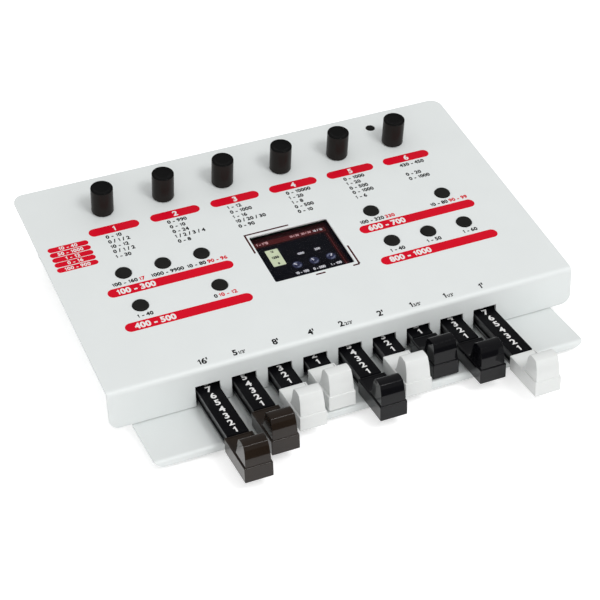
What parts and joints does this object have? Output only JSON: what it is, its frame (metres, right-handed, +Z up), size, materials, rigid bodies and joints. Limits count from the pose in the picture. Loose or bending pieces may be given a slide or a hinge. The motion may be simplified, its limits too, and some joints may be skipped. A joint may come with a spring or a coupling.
{
  "type": "organ sound module",
  "caption": "Desktop organ sound module in a folded white steel case, with sliding drawbars, rotary encoders, push buttons and a small display.",
  "frame": {"origin": "on the desk, under the middle of the object's overall box", "axes": "+X to the player's right, +Y away from the player, +Z up; the drawbars pull out towards -Y"},
  "size_m": [0.2686, 0.2528, 0.0705],
  "materials": {
    "white_steel": "fine satin powder coat, cool white",
    "black_plastic": "satin black plastic",
    "brown_knob": "glossy dark brown plastic",
    "white_knob": "glossy white plastic",
    "black_knob": "glossy black plastic",
    "rubber": "matte black rubber",
    "bright_steel": "plated steel",
    "circuit_board": "green solder mask on glass-fibre board",
    "clear_window": "clear acrylic over a dark screen",
    "screen_glass": "dark colour display",
    "dark_lens": "smoked lens",
    "grey_cable": "grey flat cable with black plugs"
  },
  "bodies": {
    "case": {"top_cover": "white_steel", "base_tray": "white_steel", "case_screw_1": "bright_steel", "case_screw_2": "bright_steel", "case_screw_3": "bright_steel", "case_screw_4": "bright_steel", "foot_1": "rubber", "foot_2": "rubber", "foot_3": "rubber", "foot_4": "rubber", "display_window": "clear_window", "display_module": "screen_glass", "status_lens": "dark_lens", "panel_board": "circuit_board", "drawbar_guide": "black_plastic", "drawbar_board": "circuit_board", "main_board": "circuit_board", "flat_cable": "grey_cable", "power_inlet": "black_plastic", "usb_socket": "bright_steel", "din_socket_1": "black_plastic", "din_socket_2": "black_plastic", "audio_jack_1": "black_plastic", "audio_jack_2": "black_plastic", "audio_jack_3": "black_plastic", "audio_jack_4": "black_plastic"},
    "drawbar_1": {"drawbar_1": "black_plastic", "drawbar_knob_1": "brown_knob"},
    "drawbar_2": {"drawbar_2": "black_plastic", "drawbar_knob_2": "brown_knob"},
    "drawbar_3": {"drawbar_3": "black_plastic", "drawbar_knob_3": "white_knob"},
    "drawbar_4": {"drawbar_4": "black_plastic", "drawbar_knob_4": "white_knob"},
    "drawbar_5": {"drawbar_5": "black_plastic", "drawbar_knob_5": "black_knob"},
    "drawbar_6": {"drawbar_6": "black_plastic", "drawbar_knob_6": "white_knob"},
    "drawbar_7": {"drawbar_7": "black_plastic", "drawbar_knob_7": "black_knob"},
    "drawbar_8": {"drawbar_8": "black_plastic", "drawbar_knob_8": "black_knob"},
    "drawbar_9": {"drawbar_9": "black_plastic", "drawbar_knob_9": "white_knob"},
    "encoder_knob_1": {"encoder_knob_1": "black_plastic"},
    "encoder_knob_2": {"encoder_knob_2": "black_plastic"},
    "encoder_knob_3": {"encoder_knob_3": "black_plastic"},
    "encoder_knob_4": {"encoder_knob_4": "black_plastic"},
    "encoder_knob_5": {"encoder_knob_5": "black_plastic"},
    "encoder_knob_6": {"encoder_knob_6": "black_plastic"},
    "button_1": {"button_1": "black_plastic"},
    "button_2": {"button_2": "black_plastic"},
    "button_3": {"button_3": "black_plastic"},
    "button_4": {"button_4": "black_plastic"},
    "button_5": {"button_5": "black_plastic"},
    "button_6": {"button_6": "black_plastic"},
    "button_7": {"button_7": "black_plastic"},
    "button_8": {"button_8": "black_plastic"},
    "button_9": {"button_9": "black_plastic"},
    "button_10": {"button_10": "black_plastic"}
  },
  "joints": [
    {"name": "drawbar_1_slide", "type": "slide", "parent": "case", "child": "drawbar_1", "axis": [0, -1, 0], "range_m": [-0.04028, 0.00892]},
    {"name": "drawbar_2_slide", "type": "slide", "parent": "case", "child": "drawbar_2", "axis": [0, -1, 0], "range_m": [-0.02614, 0.02306]},
    {"name": "drawbar_3_slide", "type": "slide", "parent": "case", "child": "drawbar_3", "axis": [0, -1, 0], "range_m": [-0.01445, 0.03475]},
    {"name": "drawbar_4_slide", "type": "slide", "parent": "case", "child": "drawbar_4", "axis": [0, -1, 0], "range_m": [-0.00541, 0.04379]},
    {"name": "drawbar_5_slide", "type": "slide", "parent": "case", "child": "drawbar_5", "axis": [0, -1, 0], "range_m": [-0.02429, 0.02491]},
    {"name": "drawbar_6_slide", "type": "slide", "parent": "case", "child": "drawbar_6", "axis": [0, -1, 0], "range_m": [-0.01199, 0.03721]},
    {"name": "drawbar_7_slide", "type": "slide", "parent": "case", "child": "drawbar_7", "axis": [0, -1, 0], "range_m": [-0.00381, 0.04539]},
    {"name": "drawbar_8_slide", "type": "slide", "parent": "case", "child": "drawbar_8", "axis": [0, -1, 0], "range_m": [-0.01814, 0.03106]},
    {"name": "drawbar_9_slide", "type": "slide", "parent": "case", "child": "drawbar_9", "axis": [0, -1, 0], "range_m": [-0.03997, 0.00923]},
    {"name": "encoder_1_turn", "type": "hinge", "parent": "case", "child": "encoder_knob_1", "pos_m": [-0.09, 0.07803, 0.0531], "axis": [0, -0.1685, 0.9857], "continuous": true},
    {"name": "encoder_2_turn", "type": "hinge", "parent": "case", "child": "encoder_knob_2", "pos_m": [-0.054, 0.07803, 0.0531], "axis": [0, -0.1685, 0.9857], "continuous": true},
    {"name": "encoder_3_turn", "type": "hinge", "parent": "case", "child": "encoder_knob_3", "pos_m": [-0.018, 0.07803, 0.0531], "axis": [0, -0.1685, 0.9857], "continuous": true},
    {"name": "encoder_4_turn", "type": "hinge", "parent": "case", "child": "encoder_knob_4", "pos_m": [0.018, 0.07803, 0.0531], "axis": [0, -0.1685, 0.9857], "continuous": true},
    {"name": "encoder_5_turn", "type": "hinge", "parent": "case", "child": "encoder_knob_5", "pos_m": [0.054, 0.07803, 0.0531], "axis": [0, -0.1685, 0.9857], "continuous": true},
    {"name": "encoder_6_turn", "type": "hinge", "parent": "case", "child": "encoder_knob_6", "pos_m": [0.09, 0.07803, 0.0531], "axis": [0, -0.1685, 0.9857], "continuous": true},
    {"name": "button_1_press", "type": "slide", "parent": "case", "child": "button_1", "axis": [0, 0.1685, -0.9857], "range_m": [0, 0.0005], "stiffness_N_per_m": 2000, "springref_m": -0.0003},
    {"name": "button_2_press", "type": "slide", "parent": "case", "child": "button_2", "axis": [0, 0.1685, -0.9857], "range_m": [0, 0.0005], "stiffness_N_per_m": 2000, "springref_m": -0.0003},
    {"name": "button_3_press", "type": "slide", "parent": "case", "child": "button_3", "axis": [0, 0.1685, -0.9857], "range_m": [0, 0.0005], "stiffness_N_per_m": 2000, "springref_m": -0.0003},
    {"name": "button_4_press", "type": "slide", "parent": "case", "child": "button_4", "axis": [0, 0.1685, -0.9857], "range_m": [0, 0.0005], "stiffness_N_per_m": 2000, "springref_m": -0.0003},
    {"name": "button_5_press", "type": "slide", "parent": "case", "child": "button_5", "axis": [0, 0.1685, -0.9857], "range_m": [0, 0.0005], "stiffness_N_per_m": 2000, "springref_m": -0.0003},
    {"name": "button_6_press", "type": "slide", "parent": "case", "child": "button_6", "axis": [0, 0.1685, -0.9857], "range_m": [0, 0.0005], "stiffness_N_per_m": 2000, "springref_m": -0.0003},
    {"name": "button_7_press", "type": "slide", "parent": "case", "child": "button_7", "axis": [0, 0.1685, -0.9857], "range_m": [0, 0.0005], "stiffness_N_per_m": 2000, "springref_m": -0.0003},
    {"name": "button_8_press", "type": "slide", "parent": "case", "child": "button_8", "axis": [0, 0.1685, -0.9857], "range_m": [0, 0.0005], "stiffness_N_per_m": 2000, "springref_m": -0.0003},
    {"name": "button_9_press", "type": "slide", "parent": "case", "child": "button_9", "axis": [0, 0.1685, -0.9857], "range_m": [0, 0.0005], "stiffness_N_per_m": 2000, "springref_m": -0.0003},
    {"name": "button_10_press", "type": "slide", "parent": "case", "child": "button_10", "axis": [0, 0.1685, -0.9857], "range_m": [0, 0.0005], "stiffness_N_per_m": 2000, "springref_m": -0.0003}
  ]
}
